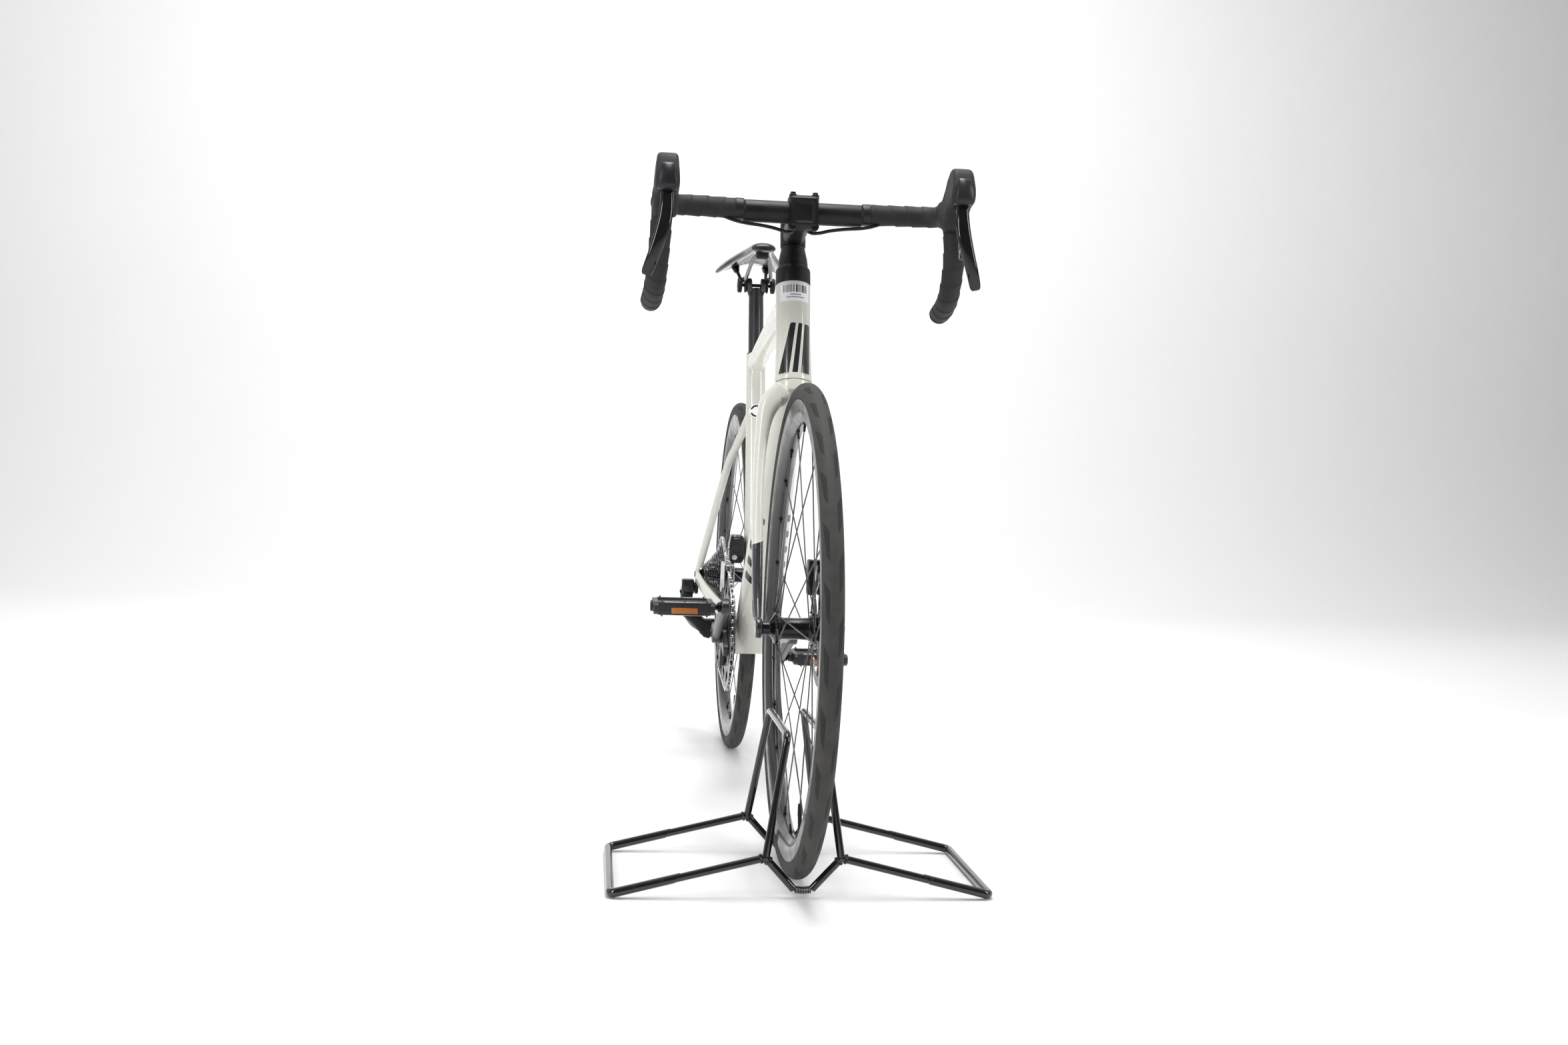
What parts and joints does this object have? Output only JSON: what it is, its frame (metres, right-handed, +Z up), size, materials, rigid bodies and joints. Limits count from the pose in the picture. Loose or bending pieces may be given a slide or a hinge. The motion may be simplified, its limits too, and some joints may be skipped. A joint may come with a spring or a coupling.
{
  "type": "bicycle on stand",
  "caption": "Drop-bar road bicycle with disc brakes and flat pedals, its front wheel held in a folding tubular floor stand.",
  "frame": {"origin": "on the floor, midway between the two wheel axles, in the wheels' plane", "axes": "+X to the rider's left, -Y forward, +Z up"},
  "size_m": [0.512, 1.669, 0.98],
  "materials": {
    "frame_paint": "satin clear coat over ivory white paint on a carbon frame; charcoal lower fork legs",
    "tyre_rubber": "dull dark grey rubber with darker tread patches",
    "rim_carbon": "glossy dark grey carbon",
    "hub_black": "gloss black anodised",
    "spoke_steel": "dark steel",
    "rotor_steel": "brushed",
    "axle_black": "black anodised",
    "bearing_steel": "ground",
    "cockpit_black": "matte black anodised",
    "cover_black": "satin black",
    "bar_tape": "wrapped tape with a fine grain",
    "hood_rubber": "matte moulded rubber",
    "lever_black": "gloss black",
    "hose_black": "satin",
    "caliper_black": "satin black",
    "seatpost_black": "satin carbon",
    "saddle_shell": "gloss black shell with a thin padded top",
    "rail_metal": "dark metal",
    "crank_grey": "satin grey",
    "ring_grey": "satin grey with bright teeth",
    "chain_steel": "bright links",
    "cassette_steel": "bright with dark inner sprockets",
    "derailleur_black": "satin black",
    "pedal_grey": "dark grey with orange reflectors",
    "stand_enamel": "gloss black enamel",
    "spring_black": "black close-wound spring"
  },
  "bodies": {
    "stand_feet": {"stand_left_foot_bar": "stand_enamel", "stand_right_foot_bar": "stand_enamel"},
    "stand_left_half": {"stand_left_half": "stand_enamel"},
    "stand_right_half": {"stand_right_half": "stand_enamel"},
    "stand_springs": {"stand_front_spring": "spring_black", "stand_rear_spring": "spring_black"},
    "steering": {"fork": "frame_paint", "front_thru_axle": "axle_black", "front_caliper": "caliper_black", "headset_cover": "cover_black", "stem": "cockpit_black", "stem_faceplate": "cockpit_black", "top_cap": "cover_black", "handlebar": "cockpit_black", "left_bar_tape": "bar_tape", "right_bar_tape": "bar_tape", "left_hood": "hood_rubber", "right_hood": "hood_rubber", "left_brake_hose": "hose_black", "right_brake_hose": "hose_black"},
    "left_brake_lever": {"left_brake_lever": "lever_black"},
    "right_brake_lever": {"right_brake_lever": "lever_black"},
    "left_shift_paddle": {"left_shift_paddle": "lever_black"},
    "right_shift_paddle": {"right_shift_paddle": "lever_black"},
    "front_wheel": {"front_tyre": "tyre_rubber", "front_rim": "rim_carbon", "front_spokes": "spoke_steel", "front_hub": "hub_black", "front_rotor": "rotor_steel"},
    "main_frame": {"frame": "frame_paint", "upper_headset_bearing": "bearing_steel", "lower_headset_bearing": "bearing_steel", "bottom_bracket": "axle_black", "rear_thru_axle": "axle_black", "rear_caliper": "caliper_black", "chain": "chain_steel", "rear_derailleur_body": "derailleur_black", "front_derailleur_body": "derailleur_black"},
    "seat": {"seatpost": "seatpost_black", "saddle_clamp": "seatpost_black", "saddle_rails": "rail_metal", "saddle": "saddle_shell"},
    "crankset": {"left_crank": "crank_grey", "right_crank": "crank_grey", "outer_chainring": "ring_grey", "inner_chainring": "ring_grey", "left_pedal_spindle": "bearing_steel", "right_pedal_spindle": "bearing_steel"},
    "left_pedal": {"left_pedal": "pedal_grey"},
    "right_pedal": {"right_pedal": "pedal_grey"},
    "rear_wheel": {"rear_tyre": "tyre_rubber", "rear_rim": "rim_carbon", "rear_spokes": "spoke_steel", "rear_hub": "hub_black", "rear_rotor": "rotor_steel"},
    "cassette": {"cassette": "cassette_steel"},
    "derailleur_cage": {"rear_derailleur_cage": "crank_grey"},
    "upper_jockey": {"upper_jockey_wheel": "derailleur_black"},
    "lower_jockey": {"lower_jockey_wheel": "derailleur_black"},
    "front_changer_cage": {"front_derailleur_cage": "crank_grey"}
  },
  "joints": [
    {"name": "bike_lift", "type": "slide", "parent": "stand_feet", "child": "steering", "axis": [0, 0, 1], "range_m": [0, 0.25]},
    {"name": "left_half_opening", "type": "hinge", "parent": "stand_feet", "child": "stand_left_half", "pos_m": [0.25, -0.508, 0.006], "axis": [0, 1, 0], "range_deg": [0, 5]},
    {"name": "right_half_opening", "type": "hinge", "parent": "stand_feet", "child": "stand_right_half", "pos_m": [-0.25, -0.508, 0.006], "axis": [0, -1, 0], "range_deg": [0, 5]},
    {"name": "spring_rise", "type": "slide", "parent": "stand_feet", "child": "stand_springs", "axis": [0, 0, 1], "range_m": [0, 0.021]},
    {"name": "steering_turn", "type": "hinge", "parent": "steering", "child": "main_frame", "pos_m": [0, -0.2983, 0.829], "axis": [0, 0.2924, 0.9563], "range_deg": [-45, 45]},
    {"name": "front_wheel_spin", "type": "hinge", "parent": "steering", "child": "front_wheel", "pos_m": [0, -0.495, 0.3395], "axis": [1, 0, 0], "continuous": true},
    {"name": "rear_wheel_spin", "type": "hinge", "parent": "main_frame", "child": "rear_wheel", "pos_m": [0, 0.495, 0.3395], "axis": [1, 0, 0], "continuous": true},
    {"name": "crank_spin", "type": "hinge", "parent": "main_frame", "child": "crankset", "pos_m": [0, 0.086, 0.269], "axis": [1, 0, 0], "continuous": true},
    {"name": "left_pedal_spin", "type": "hinge", "parent": "crankset", "child": "left_pedal", "pos_m": [0, 0.2481, 0.21], "axis": [1, 0, 0], "continuous": true},
    {"name": "right_pedal_spin", "type": "hinge", "parent": "crankset", "child": "right_pedal", "pos_m": [0, -0.0761, 0.328], "axis": [1, 0, 0], "continuous": true},
    {"name": "cassette_spin", "type": "hinge", "parent": "main_frame", "child": "cassette", "pos_m": [0, 0.495, 0.3395], "axis": [1, 0, 0], "continuous": true},
    {"name": "derailleur_cage_swing", "type": "hinge", "parent": "main_frame", "child": "derailleur_cage", "pos_m": [0, 0.52, 0.234], "axis": [1, 0, 0], "range_deg": [-12, 20], "stiffness_Nm_per_rad": 0.8, "deforming": ["chain"]},
    {"name": "upper_jockey_spin", "type": "hinge", "parent": "derailleur_cage", "child": "upper_jockey", "pos_m": [0, 0.52, 0.234], "axis": [1, 0, 0], "continuous": true},
    {"name": "lower_jockey_spin", "type": "hinge", "parent": "derailleur_cage", "child": "lower_jockey", "pos_m": [0, 0.458, 0.18], "axis": [1, 0, 0], "continuous": true},
    {"name": "front_derailleur_shift", "type": "slide", "parent": "main_frame", "child": "front_changer_cage", "axis": [1, 0, 0], "range_m": [-0.001, 0.003]},
    {"name": "seat_height", "type": "slide", "parent": "main_frame", "child": "seat", "axis": [0, 0.284, 0.9588], "range_m": [-0.06, 0.03]},
    {"name": "left_brake_pull", "type": "hinge", "parent": "steering", "child": "left_brake_lever", "pos_m": [0.201, -0.526, 0.918], "axis": [1, 0, 0], "range_deg": [0, 16], "stiffness_Nm_per_rad": 0.6, "springref_deg": -8.59},
    {"name": "left_shift_click", "type": "hinge", "parent": "left_brake_lever", "child": "left_shift_paddle", "pos_m": [0.204, -0.512, 0.912], "axis": [0, 1, 0], "range_deg": [0, 7], "stiffness_Nm_per_rad": 0.1, "springref_deg": -8.59},
    {"name": "right_brake_pull", "type": "hinge", "parent": "steering", "child": "right_brake_lever", "pos_m": [-0.201, -0.526, 0.918], "axis": [1, 0, 0], "range_deg": [0, 16], "stiffness_Nm_per_rad": 0.6, "springref_deg": -8.59},
    {"name": "right_shift_click", "type": "hinge", "parent": "right_brake_lever", "child": "right_shift_paddle", "pos_m": [-0.204, -0.512, 0.912], "axis": [0, -1, 0], "range_deg": [0, 7], "stiffness_Nm_per_rad": 0.1, "springref_deg": -8.59}
  ],
  "couplings": [
    {"joint": "left_half_opening", "follows": "bike_lift", "rad_per_m": 0.31416},
    {"joint": "right_half_opening", "follows": "bike_lift", "rad_per_m": 0.31416},
    {"joint": "spring_rise", "follows": "bike_lift", "ratio": 0.074613},
    {"joint": "cassette_spin", "follows": "crank_spin", "ratio": 1.3333},
    {"joint": "upper_jockey_spin", "follows": "crank_spin", "ratio": -4.3636},
    {"joint": "lower_jockey_spin", "follows": "crank_spin", "ratio": 4.3636}
  ]
}
